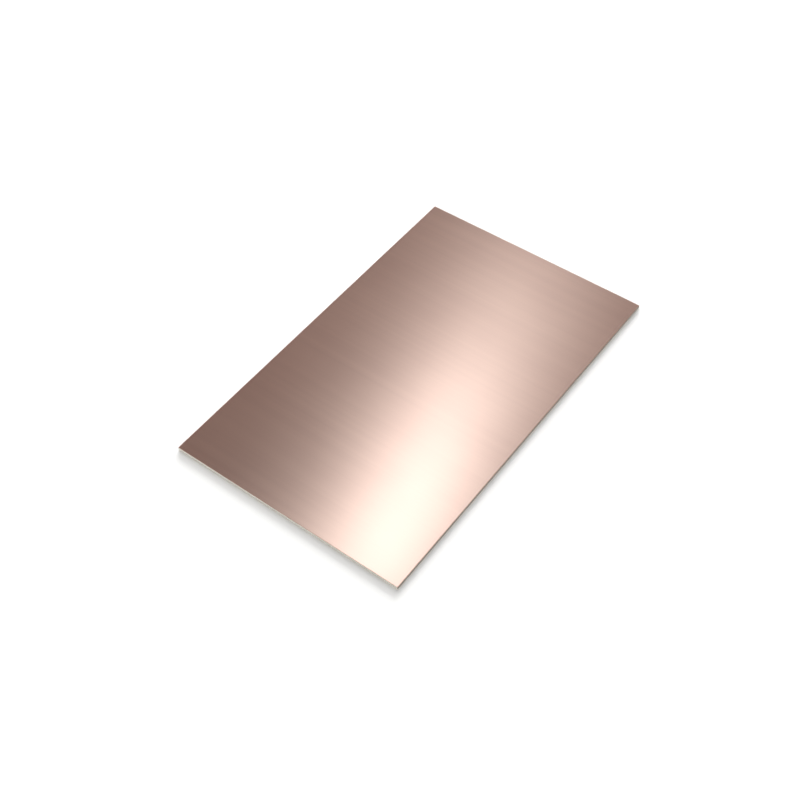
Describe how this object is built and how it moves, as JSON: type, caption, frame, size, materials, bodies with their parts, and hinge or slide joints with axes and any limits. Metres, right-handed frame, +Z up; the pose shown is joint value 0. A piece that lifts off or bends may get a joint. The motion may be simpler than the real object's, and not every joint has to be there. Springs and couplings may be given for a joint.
{
  "type": "copper clad board",
  "caption": "Plain rectangular copper clad laminate blank for making printed circuit boards: a glass-epoxy core with a copper foil bonded on both faces.",
  "frame": {"origin": "centre of the underside, on the surface that the board lies on", "axes": "+X along the long side, +Y along the short side, +Z up through the thickness"},
  "size_m": [0.16, 0.1, 0.0016],
  "materials": {
    "glass_epoxy": "matte",
    "copper": "satin"
  },
  "bodies": {
    "root": {"laminate_core": "glass_epoxy", "copper_foil_top": "copper", "copper_foil_bottom": "copper"}
  },
  "joints": []
}
